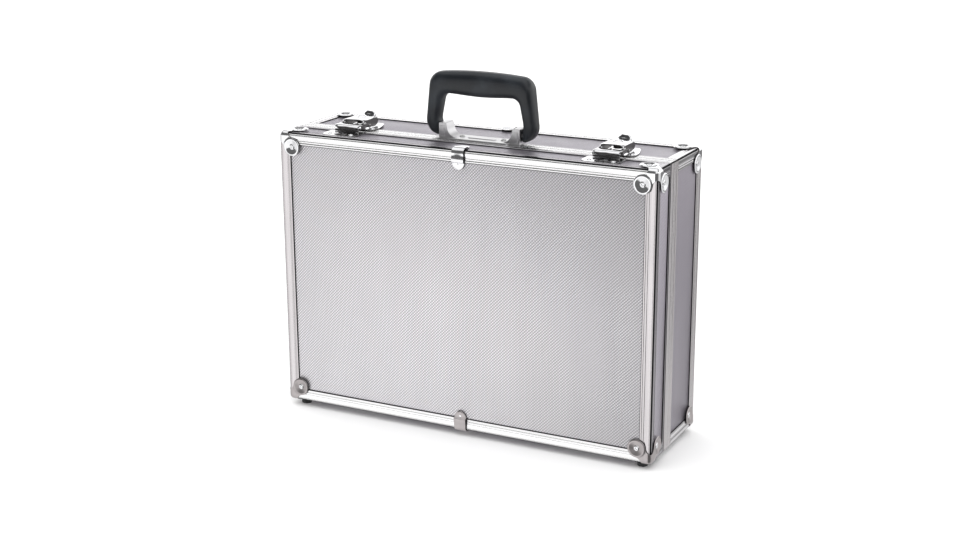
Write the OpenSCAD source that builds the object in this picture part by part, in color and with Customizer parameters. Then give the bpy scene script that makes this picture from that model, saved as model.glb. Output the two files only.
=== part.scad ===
// Aluminium attache case: panelled shell in aluminium edge trims, hinged along its bottom edge.
// Origin: middle of the footprint, on the plane that the feet stand on.
// +X is the case's width, -Y is the lid's face, +Z is up towards the handle.

/* [Case] */
// Width of the case, side to side
case_w = 450; // [440:1:470]
// Height of the case, bottom to top, without feet and handle
case_h = 316; // [310:1:330]
// Depth of the closed case, lid face to back face
case_d = 130; // [128:1:140]
// Depth of the lid
lid_d = 37; // [36:1:40]
// Gap between the closed lid and the base
gap = 1.6; // [1.2:0.1:2]
// Height of the feet under the case
foot_h = 8; // [7:0.1:9]

/* [Panels and trims] */
// Thickness of the laminated panels
panel_t = 4; // [3:0.5:4]
// Wall thickness of the aluminium trims
trim_t = 1.2; // [1:0.1:1.4]
// Width of the edge trim on the front and back faces
edge_face_w = 13.1; // [12:0.1:15]
// Width of the front edge trim on the sides
front_side_w = 8.2; // [7.5:0.1:9]
// Width of the back edge trim on the sides
back_side_w = 15; // [12:0.5:18]
// Width of the angle trims between front and back, each way
angle_w = 13; // [10:0.5:15]
// Width of the base's rim, which the lid closes against
base_rim_w = 20.2; // [18:0.1:22]
// Width of the lid's rim
lid_rim_w = 3; // [2.5:0.1:4]
// Outer radius of the trims' edges
edge_r = 4; // [3:0.5:4.5]
// Width of the fine grooves in the trims
groove_w = 0.8; // [0.5:0.1:1]
// Depth of the fine grooves in the trims
groove_deep = 0.35; // [0.2:0.05:0.5]
// How far the base's tongue reaches into the lid
tongue_l = 4; // [3:0.5:5]

/* [Corner caps, clips and feet] */
// Radius of a corner cap's lobes
lobe_r = 10.3; // [9:0.1:11]
// Distance of a lobe's rivet from both edges
lobe_in = 16; // [14:0.5:17]
// Sheet thickness of caps and clips
cap_t = 1.2; // [1:0.1:1.4]
// Width of the clips at the middle of the long edges
clip_w = 14; // [12:0.5:16]
// Length of a clip on the front or back face
clip_face_l = 21; // [18:0.5:24]
// Length of a clip on the top or bottom
clip_side_l = 18; // [16:0.5:20]
// Radius of a foot
foot_r = 6; // [5:0.5:6.5]
// Distance of a foot's middle from both edges
foot_in = 14; // [13:0.5:16]

/* [Handle] */
// Height of the handle above the case
handle_h = 74.6; // [70:0.1:80]
// Depth of the grip, front to back
grip_d = 21.6; // [18:0.1:24]
// Half the width of the handle bracket
bracket_half_w = 49; // [47:0.5:50]
// Height of the handle's pivot above the case
pivot_z = 9; // [8.5:0.1:10]
// Distance of the handle's middle from the lid face
handle_y = 57; // [56:0.5:60]

/* [Latches] */
// Distance of each latch from the middle of the case
latch_x = 156; // [140:1:170]
// Outer width of a latch lever
lever_w = 27; // [26:0.5:28]
// Distance of the lever pivot from the lid face
lever_y = 47; // [46.5:0.1:47.5]
// Height of the lever pivot above the case
lever_z = 5.5; // [5.4:0.1:6]
// Radius of the lock barrel
barrel_r = 4; // [3.5:0.1:4.2]

/* [Hinges and stays] */
// Distance of each hinge from the middle of the case
hinge_x = 140; // [110:1:150]
// Length of a hinge
hinge_l = 60; // [50:1:80]
// Radius of a hinge knuckle
knuckle_r = 2.4; // [2.2:0.1:2.4]
// Radius of a hinge pin
hinge_pin_r = 1.1; // [1:0.1:1.2]
// Distance of the stays' pivots from the hinge axis
stay_reach = 45; // [42:1:50]
// Distance of the stays' pivots from the middle of the gap
stay_off = 10; // [9:0.5:10]
// How far the lid opens, in degrees
lid_open = 95; // [90:1:95]

/* [Inside] */
// Thickness of the lining
lining_t = 1; // [0.8:0.1:1.2]
// Thickness of the foam in the lid
lid_foam_t = 20; // [16:1:20]
// Thickness of the foam in the base
base_foam_t = 25; // [20:1:40]

/* [Hidden] */

$fn = 48;
eps = 0.01;

// Outer faces of the case
xh = case_w / 2;
yf = -case_d / 2;
yb = case_d / 2;
zb = foot_h;
zt = foot_h + case_h;
zc = foot_h + case_h / 2;
// Meeting planes of lid and base
y_lid = yf + lid_d;
y_base = y_lid + gap;
y_gap = y_lid + gap / 2;
// Depth of the panels' inner faces, and of the trims' inner flanges and solid corners
block = trim_t + panel_t;
inner = block + trim_t;
// Outer radius of a cap's corner, and the corner left free of trims under it
cap_r = edge_r + cap_t;
notch = edge_r + 1;
// Half the open joint between mitred trims
joint = 0.05;
// Hinge axis
hinge_z = zb - knuckle_r - 0.2;
// Stay pivots above the hinge axis, and the arm's plane
stay_z = hinge_z + sqrt(stay_reach * stay_reach - stay_off * stay_off);
stay_rise = asin(stay_off / stay_reach);
stay_near = 2 * stay_off;
stay_far = 2 * stay_reach * sin(stay_rise + lid_open / 2);
stay_out = 9;
stay_t = 1.5;
stay_pin_r = 2;
stay_head_r = 3.4;
stay_arm_r = 4.6;
stay_slot_r = stay_pin_r + 0.25;
// Running clearance on the radius of pins
run = 0.05;
// Depth of the free slot along the lining's sides
foam_in = 14;

bright = [0.86, 0.86, 0.86];
panel_grey = [0.76, 0.75, 0.77];
chrome = [0.8, 0.8, 0.82];
black = [0.1, 0.11, 0.12];

function arc(cx, cy, r, a0, a1, n) = [for (i = [0:n]) let (a = a0 + (a1 - a0) * i / n)
    [cx + r * cos(a), cy + r * sin(a)]];
function flip(pts) = [for (i = [len(pts) - 1:-1:0]) [-pts[i][0], pts[i][1]]];

// ---- placing ----

// Moves what is drawn along the top edge, outer face at z = 0, to one of the four sides
module on_side(side) {
    if (side == "top") translate([0, 0, zt]) children();
    if (side == "bottom") translate([0, 0, zb]) mirror([0, 0, 1]) children();
    if (side == "right") translate([xh, 0, zc]) rotate([0, 90, 0]) children();
    if (side == "left") translate([-xh, 0, zc]) rotate([0, -90, 0]) children();
}

function side_length(side) = (side == "top" || side == "bottom") ? case_w : case_h;

// Draws its children at the four corners seen from the front, with +X and +Z pointing inwards
module at_corners() {
    for (sx = [0, 1])
        for (sz = [0, 1])
            translate([sx ? xh : -xh, 0, sz ? zt : zb]) mirror([sx, 0, 0]) mirror([0, 0, sz]) children();
}

// Draws its children at both ends of the width, mirrored on the left
module both_sides() {
    children();
    mirror([1, 0, 0]) children();
}

// Mirrors what is drawn at the lid face to the back face
module to_back() {
    mirror([0, 1, 0]) children();
}

// ---- trims ----

// One straight trim of a rectangular frame, mitred at both ends. The 2D profile has Y as its X.
module mitred_trim(side, reach) {
    long = side_length(side);
    on_side(side) intersection() {
        rotate([90, 0, 90]) linear_extrude(long, center = true) children();
        rotate([90, 0, 0]) linear_extrude(2 * case_d, center = true)
            polygon([[-long / 2 - 1 + joint, 1], [long / 2 + 1 - joint, 1],
                     [long / 2 - reach - joint, -reach], [-long / 2 + reach + joint, -reach]]);
    }
}

// Angle trim that holds two panels in channels. Its outer corner is at the origin.
module edge_profile(face_w, side_w) {
    difference() {
        union() {
            translate([0, -face_w]) square([trim_t, face_w]);
            translate([0, -trim_t]) square([side_w, trim_t]);
            translate([0, -inner]) square([inner, inner]);
            translate([block, -face_w]) square([trim_t, face_w - block]);
            translate([block, -inner]) square([side_w - block, trim_t]);
        }
        difference() {
            translate([-1, -edge_r]) square([edge_r + 1, edge_r + 1]);
            translate([edge_r, -edge_r]) circle(edge_r);
        }
        for (u = [0.22, 0.61, 0.8])
            translate([-eps, -face_w * u - groove_w / 2]) square([groove_deep + eps, groove_w]);
        translate([side_w * 0.7, -groove_deep]) square([groove_w, groove_deep + eps]);
    }
}

// Removes what the rounded caps take up at the lid face: each corner, and the edge along the depth
module without_corners() {
    long = back_side_w + 1;
    difference() {
        children();
        at_corners() translate([0, yf, 0]) {
            translate([-1, -1, -1]) cube(notch + 1);
            difference() {
                translate([-1, 0, -1]) cube([edge_r + 1, long, edge_r + 1]);
                translate([edge_r, -1, edge_r]) rotate([-90, 0, 0]) cylinder(r = edge_r, h = long + 2);
            }
        }
    }
}

module front_edge(side) {
    color(bright) without_corners() mitred_trim(side, edge_face_w + 1)
        translate([yf, 0]) edge_profile(edge_face_w, front_side_w);
}

module back_edge(side) {
    color(bright) to_back() without_corners() mitred_trim(side, edge_face_w + 1)
        translate([yf, 0]) edge_profile(edge_face_w, back_side_w);
}

// Angle trims along the depth, from y0 to y1
module corner_angles(y0, y1) {
    color(bright) at_corners() translate([0, y1, 0]) rotate([90, 0, 0]) linear_extrude(y1 - y0)
        mirror([0, 1, 0]) edge_profile(angle_w, angle_w);
}

module lid_corner_angles() {
    corner_angles(yf + front_side_w, y_lid - lid_rim_w);
}

module base_corner_angles() {
    corner_angles(y_base + base_rim_w, yb - back_side_w);
}

// Channel that closes the lid's panels
module lid_rim_profile() {
    translate([y_lid - lid_rim_w, -trim_t]) square([lid_rim_w, trim_t]);
    translate([y_lid - lid_rim_w, -inner]) square([lid_rim_w, trim_t]);
    translate([y_lid - trim_t, -inner]) square([trim_t, inner]);
}

module lid_rim() {
    color(bright) for (side = ["top", "bottom", "left", "right"])
        mitred_trim(side, inner + 1) lid_rim_profile();
}

// Wide channel on the base, with the tongue that reaches into the lid
module base_rim_profile() {
    tongue_in = inner + 0.6;
    difference() {
        translate([y_base, -trim_t]) square([base_rim_w, trim_t]);
        for (v = [0.14, 0.42, 0.62, 0.86])
            translate([y_base + base_rim_w * v, -groove_deep]) square([groove_w, 1]);
    }
    translate([y_base, -inner]) square([base_rim_w, trim_t]);
    translate([y_base, -tongue_in - trim_t]) square([trim_t, tongue_in + trim_t]);
    translate([y_base - tongue_l, -tongue_in - trim_t]) square([tongue_l + eps, trim_t]);
}

module base_rim() {
    color(bright) for (side = ["top", "bottom", "left", "right"])
        mitred_trim(side, inner + 3) base_rim_profile();
}

// ---- panels ----

module face_panel() {
    translate([-xh + inner, yf + trim_t, zb + inner])
        cube([case_w - 2 * inner, panel_t, case_h - 2 * inner]);
}

module front_panel() {
    color(panel_grey) face_panel();
}

module back_panel() {
    color(panel_grey) to_back() face_panel();
}

module side_panel(side, y0, y1) {
    long = side_length(side) - 2 * inner;
    color(panel_grey) on_side(side) translate([-long / 2, y0, -block]) cube([long, y1 - y0, panel_t]);
}

module lid_side_panel(side) {
    side_panel(side, yf + inner, y_lid - trim_t);
}

module base_side_panel(side) {
    side_panel(side, y_base + trim_t, yb - inner);
}

// ---- corner caps, clips, rivets and feet ----

// Solid corner with its three edges and its point rounded
module round_corner(r, long) {
    translate([r, r, r]) sphere(r);
    translate([r, r, r]) cylinder(r = r, h = long - r);
    translate([r, r, r]) rotate([0, 90, 0]) cylinder(r = r, h = long - r);
    translate([r, r, r]) rotate([-90, 0, 0]) cylinder(r = r, h = long - r);
    translate([r, r, 0]) cube([long - r, long - r, long]);
    translate([r, 0, r]) cube([long - r, long, long - r]);
    translate([0, r, r]) cube([long, long - r, long - r]);
}

// Outline of a cap on one face, standing a sheet's thickness above the face
module lobe_prism() {
    translate([lobe_in, lobe_in, -cap_t]) cylinder(r = lobe_r, h = cap_t + cap_r);
    translate([-cap_t, -cap_t, -cap_t]) cube([lobe_in + cap_t, lobe_in + cap_t, cap_t + cap_r]);
}

// Pressed cap over a corner whose point is at the origin
module corner_cap() {
    long = lobe_in + lobe_r + 2;
    intersection() {
        difference() {
            translate([-cap_t, -cap_t, -cap_t]) round_corner(cap_r, long);
            round_corner(cap_r - cap_t, long + 1);
        }
        union() {
            lobe_prism();
            mirror([1, 0, -1]) lobe_prism();
            mirror([0, 1, -1]) lobe_prism();
        }
    }
}

module corner_caps() {
    color(chrome) at_corners() translate([0, yf, 0]) corner_cap();
}

module front_corner_caps() {
    corner_caps();
}

module back_corner_caps() {
    to_back() corner_caps();
}

// Domed rivet head on the plane z = 0
module rivet_head(r, h) {
    ball = (r * r + h * h) / (2 * h);
    rotate_extrude() intersection() {
        translate([0, h - ball]) circle(ball, $fn = 96);
        square([r, h]);
    }
}

// Rivets on the face lobe, the side lobe and, at the top corners, the top lobe
module cap_rivets() {
    color(chrome) {
        at_corners() {
            translate([lobe_in, yf - cap_t, lobe_in]) rotate([90, 0, 0]) rivet_head(3.4, 1.2);
            translate([-cap_t, yf + lobe_in, lobe_in]) rotate([0, -90, 0]) rivet_head(3.4, 1.2);
        }
        both_sides() translate([xh - lobe_in, yf + lobe_in, zt + cap_t]) rivet_head(3.4, 1.2);
    }
}

module front_cap_rivets() {
    cap_rivets();
}

module back_cap_rivets() {
    to_back() cap_rivets();
}

// Strap with one rounded end, lying on z = 0 and reaching along +X
module strap(long) {
    translate([0, -clip_w / 2, 0]) cube([long - clip_w / 2, clip_w, cap_t]);
    translate([long - clip_w / 2, 0, 0]) cylinder(d = clip_w, h = cap_t);
}

// Clip around the middle of the top or bottom edge of the lid face
module edge_clip(side) {
    turn = edge_r + cap_t;
    on_side(side) translate([0, yf, 0]) {
        translate([0, -cap_t, -edge_r]) rotate([0, 90, 90]) strap(clip_face_l - edge_r);
        translate([0, edge_r, 0]) rotate([0, 0, 90]) strap(clip_side_l - edge_r);
        translate([0, edge_r, -edge_r]) rotate([0, 90, 0]) intersection() {
            difference() {
                cylinder(r = turn, h = clip_w, center = true);
                cylinder(r = edge_r, h = clip_w + 1, center = true);
            }
            translate([-turn, -turn, -clip_w]) cube([turn, turn, 2 * clip_w]);
        }
    }
}

module clips() {
    color(chrome) for (side = ["top", "bottom"]) edge_clip(side);
}

module front_clips() {
    clips();
}

module back_clips() {
    to_back() clips();
}

module clip_rivets() {
    color(chrome) for (side = ["top", "bottom"]) on_side(side) {
        translate([0, yf - cap_t, -lobe_in]) rotate([90, 0, 0]) rivet_head(2.8, 1.1);
        translate([0, yf + clip_side_l - clip_w / 2, cap_t]) rivet_head(2.8, 1.1);
    }
}

module front_clip_rivets() {
    clip_rivets();
}

module back_clip_rivets() {
    to_back() clip_rivets();
}

// Rubber feet under the bottom lobes of the caps
module feet() {
    high = foot_h - cap_t;
    edge = 1;
    color(black) both_sides() translate([xh - foot_in, yf + foot_in, 0]) rotate_extrude()
        polygon(concat([[0, 0]], arc(foot_r - edge, edge, edge, -90, 0, 6),
                       [[foot_r, high], [0, high]]));
}

module front_feet() {
    feet();
}

module back_feet() {
    to_back() feet();
}

// ---- hinges at the bottom ----

// Knuckles of one hinge along X. The base has the odd ones and the lid the even ones.
knuckles = 5;
knuckle_l = hinge_l / knuckles;
knuckle_gap = 0.3;

module hinge_leaf(first, radius) {
    leaf_l = 14;
    clear = knuckle_r + 0.4;
    for (i = [first:2:knuckles - 1])
        translate([-hinge_l / 2 + i * knuckle_l + knuckle_gap / 2, y_gap, hinge_z])
            difference() {
                union() {
                    rotate([0, 90, 0]) cylinder(r = knuckle_r, h = knuckle_l - knuckle_gap);
                    translate([0, 0, zb - hinge_z - cap_t])
                        cube([knuckle_l - knuckle_gap, clear + 1, cap_t]);
                }
                translate([-1, 0, 0]) rotate([0, 90, 0]) cylinder(r = radius, h = knuckle_l + 1);
            }
    translate([-hinge_l / 2, y_gap + clear, zb - cap_t]) cube([hinge_l, leaf_l, cap_t]);
}

module base_hinge_leaves() {
    color(chrome) for (x = [-hinge_x, hinge_x]) translate([x, 0, 0]) hinge_leaf(0, hinge_pin_r);
}

module lid_hinge_leaves() {
    color(chrome) for (x = [-hinge_x, hinge_x])
        translate([x, 2 * y_gap, 0]) mirror([0, 1, 0]) hinge_leaf(1, hinge_pin_r + run);
}

module hinge_pins() {
    color(chrome) for (x = [-hinge_x, hinge_x])
        translate([x, y_gap, hinge_z]) rotate([0, 90, 0])
            cylinder(r = hinge_pin_r, h = hinge_l - knuckle_gap, center = true);
}

// ---- lid stays ----

// Stay arm with a bore at its pivot on the lid and a slot for the stud on the base
module stay() {
    long = stay_far - stay_near;
    color(chrome) translate([xh - stay_out - stay_t, y_gap - stay_off, stay_z])
        rotate([90, 0, 90]) linear_extrude(stay_t) difference() {
            union() {
                circle(stay_arm_r);
                translate([0, -stay_arm_r]) square([stay_far, 2 * stay_arm_r]);
                translate([stay_far, 0]) circle(stay_arm_r);
            }
            circle(stay_pin_r + run);
            translate([stay_near, 0]) circle(stay_slot_r);
            translate([stay_near, -stay_slot_r]) square([long, 2 * stay_slot_r]);
            translate([stay_far, 0]) circle(stay_slot_r);
        }
}

module stay_right() {
    stay();
}

module stay_left() {
    mirror([1, 0, 0]) stay();
}

// Headed stud that stands on the inside of a side, depth from in the wall, and carries the stay
module stay_stud(y, from) {
    head_t = 1.2;
    end = stay_out + stay_t + 0.3;
    color(chrome) both_sides() translate([xh, y, stay_z]) rotate([0, -90, 0]) {
        translate([0, 0, from]) cylinder(r = stay_pin_r, h = end - from + eps);
        translate([0, 0, end]) cylinder(r = stay_head_r, h = head_t);
        translate([0, 0, from]) cylinder(r = stay_head_r, h = stay_out - from - 0.3);
    }
}

module stay_pivots() {
    stay_stud(y_gap - stay_off, block);
}

module stay_studs() {
    stay_stud(y_gap + stay_off, inner);
}

// ---- lining and foam ----

// Open tray against the inner flanges, its floor at y0 and its mouth at y1
module tray(y0, y1, y_stud) {
    w = case_w - 2 * inner;
    h = case_h - 2 * inner;
    color([0.3, 0.3, 0.32]) difference() {
        translate([-w / 2, y0, zc - h / 2]) cube([w, y1 - y0, h]);
        translate([-w / 2 + lining_t, y0 + lining_t, zc - h / 2 + lining_t])
            cube([w - 2 * lining_t, y1 - y0, h - 2 * lining_t]);
        translate([0, y_stud, stay_z]) rotate([0, 90, 0])
            cylinder(r = stay_head_r + 0.4, h = case_w, center = true);
    }
}

module lid_lining() {
    tray(yf + inner, y_lid - tongue_l, y_gap - stay_off);
}

module base_lining() {
    mirror([0, 1, 0]) tray(yf + inner, -(y_base + trim_t + 0.4), -(y_gap + stay_off));
}

module foam(y0, thick) {
    high = case_h - 2 * (inner + lining_t + 1);
    color([0.22, 0.22, 0.24]) translate([-xh + foam_in, y0, zc - high / 2])
        cube([case_w - 2 * foam_in, thick, high]);
}

module lid_foam() {
    foam(yf + inner + lining_t + 0.2, lid_foam_t);
}

module base_foam() {
    foam(yb - inner - lining_t - 0.2 - base_foam_t, base_foam_t);
}

// ---- handle ----

pivot_bore_deep = 60;
// Radius of the legs' ends around the pivot
leg_end_r = 8;
// Radius of the grip's arched top, its upper corners, and where they meet
arch_r = 513;
shoulder_r = 15;
shoulder_a = 84.6;

// Half outline of the handle from the front, from the arch round to the leg's end and back up inside
outer_half = concat(arc(0, handle_h - arch_r, arch_r, 90, shoulder_a, 8),
                    arc((arch_r - shoulder_r) * cos(shoulder_a),
                        handle_h - arch_r + (arch_r - shoulder_r) * sin(shoulder_a),
                        shoulder_r, shoulder_a - 8, 8, 10),
                    arc(50.5, 18.5, 16, 8, -85, 10));
inner_half = concat([[bracket_half_w + 0.5, 2.6], [bracket_half_w + 0.5, 17], [51.5, 20]],
                    arc(37.5, 38.5, 10, 8, 86, 8));

module handle() {
    color(black) translate([0, yf + handle_y, zt]) difference() {
        intersection() {
            rotate([90, 0, 0]) linear_extrude(grip_d + 2, center = true)
                polygon(concat(outer_half, inner_half, flip(concat(outer_half, inner_half))));
            rotate([90, 0, 90]) linear_extrude(case_w, center = true)
                polygon(concat(arc(0, pivot_z, leg_end_r, 200, 340, 12),
                               arc(0, handle_h - grip_d / 2, grip_d / 2, 0, 180, 20)));
        }
        rotate([0, 90, 0]) translate([-pivot_z, 0, 0])
            cylinder(r = 3, h = 2 * pivot_bore_deep, center = true);
    }
}

module handle_pins() {
    color(chrome) translate([0, yf + handle_y, zt + pivot_z]) both_sides()
        rotate([0, 90, 0]) translate([0, 0, bracket_half_w - 5])
            cylinder(r = 3, h = pivot_bore_deep - bracket_half_w + 5);
}

bracket_d = 18;
bracket_t = 1.5;
housing_h = 17;
housing_top = 9;
housing_foot = 18;

// Outline of a bracket housing, set in by s from its outer shape
module housing_profile(s) {
    polygon([[bracket_half_w - housing_foot + 1.8 * s, -s * eps],
             [bracket_half_w - housing_top + 0.6 * s, housing_h - s],
             [bracket_half_w - s, housing_h - s], [bracket_half_w - s, -s * eps]]);
}

// Stamped bracket with a raised housing for each end of the handle
module handle_bracket() {
    color(chrome) translate([0, yf + handle_y, zt]) {
        both_sides() difference() {
            rotate([90, 0, 0]) linear_extrude(bracket_d, center = true) housing_profile(0);
            rotate([90, 0, 0]) linear_extrude(bracket_d - 2 * bracket_t, center = true)
                housing_profile(bracket_t);
            translate([bracket_half_w - 4, 0, pivot_z]) rotate([0, 90, 0]) cylinder(r = 3 + run, h = 6);
        }
        translate([housing_foot - bracket_half_w - 1, -13, 0])
            cube([2 * (bracket_half_w - housing_foot) + 2, 24, bracket_t]);
    }
}

module bracket_screws() {
    color(chrome) both_sides() translate([25, yf + handle_y + 1, zt + bracket_t]) difference() {
        rivet_head(3.6, 1.8);
        for (a = [0, 90]) rotate([0, 0, a]) translate([-2, -0.4, 0.9]) cube([4, 0.8, 2]);
    }
}

// ---- latches ----

lever_t = 1.2;
ear_out = lever_w / 2 - lever_t - 0.6;
lever_top = 4.5;
bail_pivot_y = 8;
bail_pivot_z = -1.5;
bail_pin_r = 1.2;
lever_pin_r = 1.2;
bail_in = lever_w / 2 + 0.5;
bail_t = 1.3;
barrel_y = 16;
lever_end = 31;
lever_boss_r = 3.5;

module at_latches() {
    for (x = [-latch_x, latch_x]) translate([x, 0, zt]) children();
}

// Plate on the base, with two ears inside the lever
module latch_plates() {
    color(chrome) at_latches() {
        translate([0, yf, 0]) linear_extrude(cap_t)
            polygon([[-24, 45], [24, 45], [24, 62], [16, 86], [-16, 86], [-24, 62]]);
        both_sides() translate([ear_out - lever_t, yf + lever_y, 0]) difference() {
            union() {
                translate([0, -lever_boss_r, 0]) cube([lever_t, 2 * lever_boss_r, lever_z]);
                translate([0, 0, lever_z]) rotate([0, 90, 0]) cylinder(r = lever_boss_r, h = lever_t);
            }
            translate([-1, 0, lever_z]) rotate([0, 90, 0]) cylinder(r = lever_pin_r, h = lever_t + 2);
        }
    }
}

module latch_pins() {
    color(chrome) at_latches() both_sides()
        translate([ear_out - lever_t, yf + lever_y, lever_z]) rotate([0, 90, 0])
            cylinder(r = lever_pin_r, h = lever_w / 2 - ear_out + lever_t);
}

module latch_rivets() {
    color(chrome) at_latches() {
        both_sides() translate([19.8, yf + 53, cap_t]) rivet_head(2.6, 1);
        translate([0, yf + 82, cap_t]) rivet_head(2.6, 1);
    }
}

// Plate on the lid, with the low lip that the bail lies over
module strike_plates() {
    color(chrome) at_latches() translate([0, yf, 0]) {
        translate([-21.5, 9, -trim_t]) cube([43, 24, trim_t]);
        translate([-15, 30, -eps]) cube([30, 1.6, 3 + eps]);
    }
}

module strike_rivets() {
    color(chrome) at_latches() both_sides() translate([13.5, yf + 17, 0]) rivet_head(2.6, 1);
}

// Lever with side cheeks, a curled finger tab, and studs for the bail. The pivot is at the origin.
module lever() {
    color(chrome) difference() {
        union() {
            translate([-lever_w / 2, 0, lever_top]) cube([lever_w, lever_end, lever_t]);
            translate([0, lever_end, lever_top + lever_t / 2 + 4]) rotate([90, 0, 90])
                linear_extrude(lever_w - 7, center = true) polygon(concat(
                    arc(0, 0, 4 + lever_t / 2, -90, 10, 10), arc(0, 0, 4 - lever_t / 2, 10, -90, 10)));
            both_sides() translate([lever_w / 2 - lever_t, 0, 0]) {
                translate([0, 0, -lever_z + cap_t + 0.6])
                    cube([lever_t, lever_end - 3, lever_z + lever_top - cap_t - 0.5]);
                rotate([0, 90, 0]) cylinder(r = lever_boss_r, h = lever_t);
                translate([0, bail_pivot_y, bail_pivot_z]) rotate([0, 90, 0])
                    cylinder(r = bail_pin_r, h = bail_in - lever_w / 2 + lever_t + bail_t + 0.3);
            }
            translate([0, barrel_y, -1]) cylinder(r = barrel_r + 1.2, h = lever_top + 1 + eps);
        }
        translate([0, barrel_y, -2]) cylinder(r = barrel_r + run, h = 12);
        translate([-lever_w, 0, 0]) rotate([0, 90, 0])
            cylinder(r = lever_pin_r + run, h = 2 * lever_w);
    }
}

module at_lever(x) {
    translate([x, yf + lever_y, zt + lever_z]) children();
}

module lever_left() {
    at_lever(-latch_x) lever();
}

module lever_right() {
    at_lever(latch_x) lever();
}

// Bail that straddles the lever and lies over the strike's lip. The lever pivot is at the origin.
module bail() {
    front = -20;
    plate_l = 13;
    rise = 2;
    plate_t = 1.5;
    hook_low = 3.3 - lever_z;
    color(chrome) {
        both_sides() translate([bail_in, bail_pivot_y, bail_pivot_z]) rotate([0, 90, 0]) difference() {
            union() {
                cylinder(r = 2.6, h = bail_t);
                translate([-3.5, front + plate_l - bail_pivot_y - 3, 0])
                    cube([3, bail_pivot_y - front - plate_l + 3, bail_t]);
            }
            translate([0, 0, -1]) cylinder(r = bail_pin_r + run, h = bail_t + 2);
        }
        translate([-bail_in - bail_t, front, rise - plate_t])
            cube([2 * (bail_in + bail_t), plate_l, plate_t]);
        translate([-11, front, hook_low]) cube([22, 1.4, rise - hook_low]);
    }
}

module bail_left() {
    at_lever(-latch_x) bail();
}

module bail_right() {
    at_lever(latch_x) bail();
}

// Lock barrel with its key slot
module lock_barrel() {
    color(chrome) translate([0, barrel_y, 0]) difference() {
        translate([0, 0, -1]) cylinder(r = barrel_r, h = lever_top + lever_t + 1.4);
        translate([-0.6, -2.2, lever_top - 1]) cube([1.2, 4.4, 4]);
        translate([0, 1, lever_top - 1]) cylinder(r = 1.1, h = 4);
    }
}

module lock_barrel_left() {
    at_lever(-latch_x) lock_barrel();
}

module lock_barrel_right() {
    at_lever(latch_x) lock_barrel();
}

front_panel();
lid_side_panel("top");  // lid_top_panel
lid_side_panel("bottom");  // lid_bottom_panel
lid_side_panel("left");  // lid_left_panel
lid_side_panel("right");  // lid_right_panel
front_edge("top");  // front_edge_top
front_edge("bottom");  // front_edge_bottom
front_edge("left");  // front_edge_left
front_edge("right");  // front_edge_right
lid_rim();
lid_corner_angles();
front_corner_caps();
front_cap_rivets();
front_clips();
front_clip_rivets();
strike_plates();
strike_rivets();
lid_hinge_leaves();
front_feet();
lid_lining();
lid_foam();
stay_pivots();
back_panel();
base_side_panel("top");  // base_top_panel
base_side_panel("bottom");  // base_bottom_panel
base_side_panel("left");  // base_left_panel
base_side_panel("right");  // base_right_panel
back_edge("top");  // back_edge_top
back_edge("bottom");  // back_edge_bottom
back_edge("left");  // back_edge_left
back_edge("right");  // back_edge_right
base_rim();
base_corner_angles();
back_corner_caps();
back_cap_rivets();
back_clips();
back_clip_rivets();
handle_bracket();
bracket_screws();
latch_plates();
latch_rivets();
latch_pins();
base_hinge_leaves();
hinge_pins();
back_feet();
base_lining();
base_foam();
stay_studs();
handle();
handle_pins();
lever_left();
lever_right();
bail_left();
bail_right();
lock_barrel_left();
lock_barrel_right();
stay_left();
stay_right();
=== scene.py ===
import math

import bmesh
import bpy
from mathutils import Matrix, Vector, noise
from mathutils.geometry import delaunay_2d_cdt

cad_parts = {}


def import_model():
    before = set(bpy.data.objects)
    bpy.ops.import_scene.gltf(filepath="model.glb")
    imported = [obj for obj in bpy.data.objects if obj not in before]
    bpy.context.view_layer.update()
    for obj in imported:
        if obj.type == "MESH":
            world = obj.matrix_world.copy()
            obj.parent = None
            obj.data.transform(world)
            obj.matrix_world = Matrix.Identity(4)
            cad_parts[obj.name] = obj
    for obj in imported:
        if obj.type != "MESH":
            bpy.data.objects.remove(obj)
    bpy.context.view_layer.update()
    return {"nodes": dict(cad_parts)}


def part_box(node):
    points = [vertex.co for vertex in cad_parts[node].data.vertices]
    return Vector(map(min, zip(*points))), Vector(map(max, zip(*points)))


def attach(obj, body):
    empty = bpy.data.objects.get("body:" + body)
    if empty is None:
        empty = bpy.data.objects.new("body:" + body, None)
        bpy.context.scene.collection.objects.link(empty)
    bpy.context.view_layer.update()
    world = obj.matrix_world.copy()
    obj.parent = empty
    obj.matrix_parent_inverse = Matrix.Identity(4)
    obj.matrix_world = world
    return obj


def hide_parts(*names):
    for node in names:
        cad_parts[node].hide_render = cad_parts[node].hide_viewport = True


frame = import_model()
MM = 0.001

# -------- sizes of the shell, in millimetres
# XH, YH and HALF_H are half its width, depth and height, and ZC is the height of its middle.

rim_low, rim_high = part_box("base_rim")
case_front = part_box("front_edge_top")[0].y
case_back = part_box("back_edge_top")[1].y
SHEET = 1.2
XH = (rim_high.x - rim_low.x) / 2 / MM
YH = (case_back - case_front) / 2 / MM
ZB = rim_low.z / MM
ZT = rim_high.z / MM
ZC = (rim_low.z + rim_high.z) / 2 / MM
HALF_H = (ZT - ZB) / 2
LID_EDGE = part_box("lid_rim")[1].y / MM
RIM_EDGE = (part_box("base_top_panel")[0].y - SHEET * MM) / MM
GAP_Y = (LID_EDGE + RIM_EDGE) / 2
INNER = 6.4
EDGE_R = 4.0
FACE_W = 13.1
LID_SIDE_W = 8.2
BASE_SIDE_W = 15.0
ANGLE_W = 13.0
RIM_W = 20.2
LIP_W = 3.0

# -------- node trees


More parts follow.
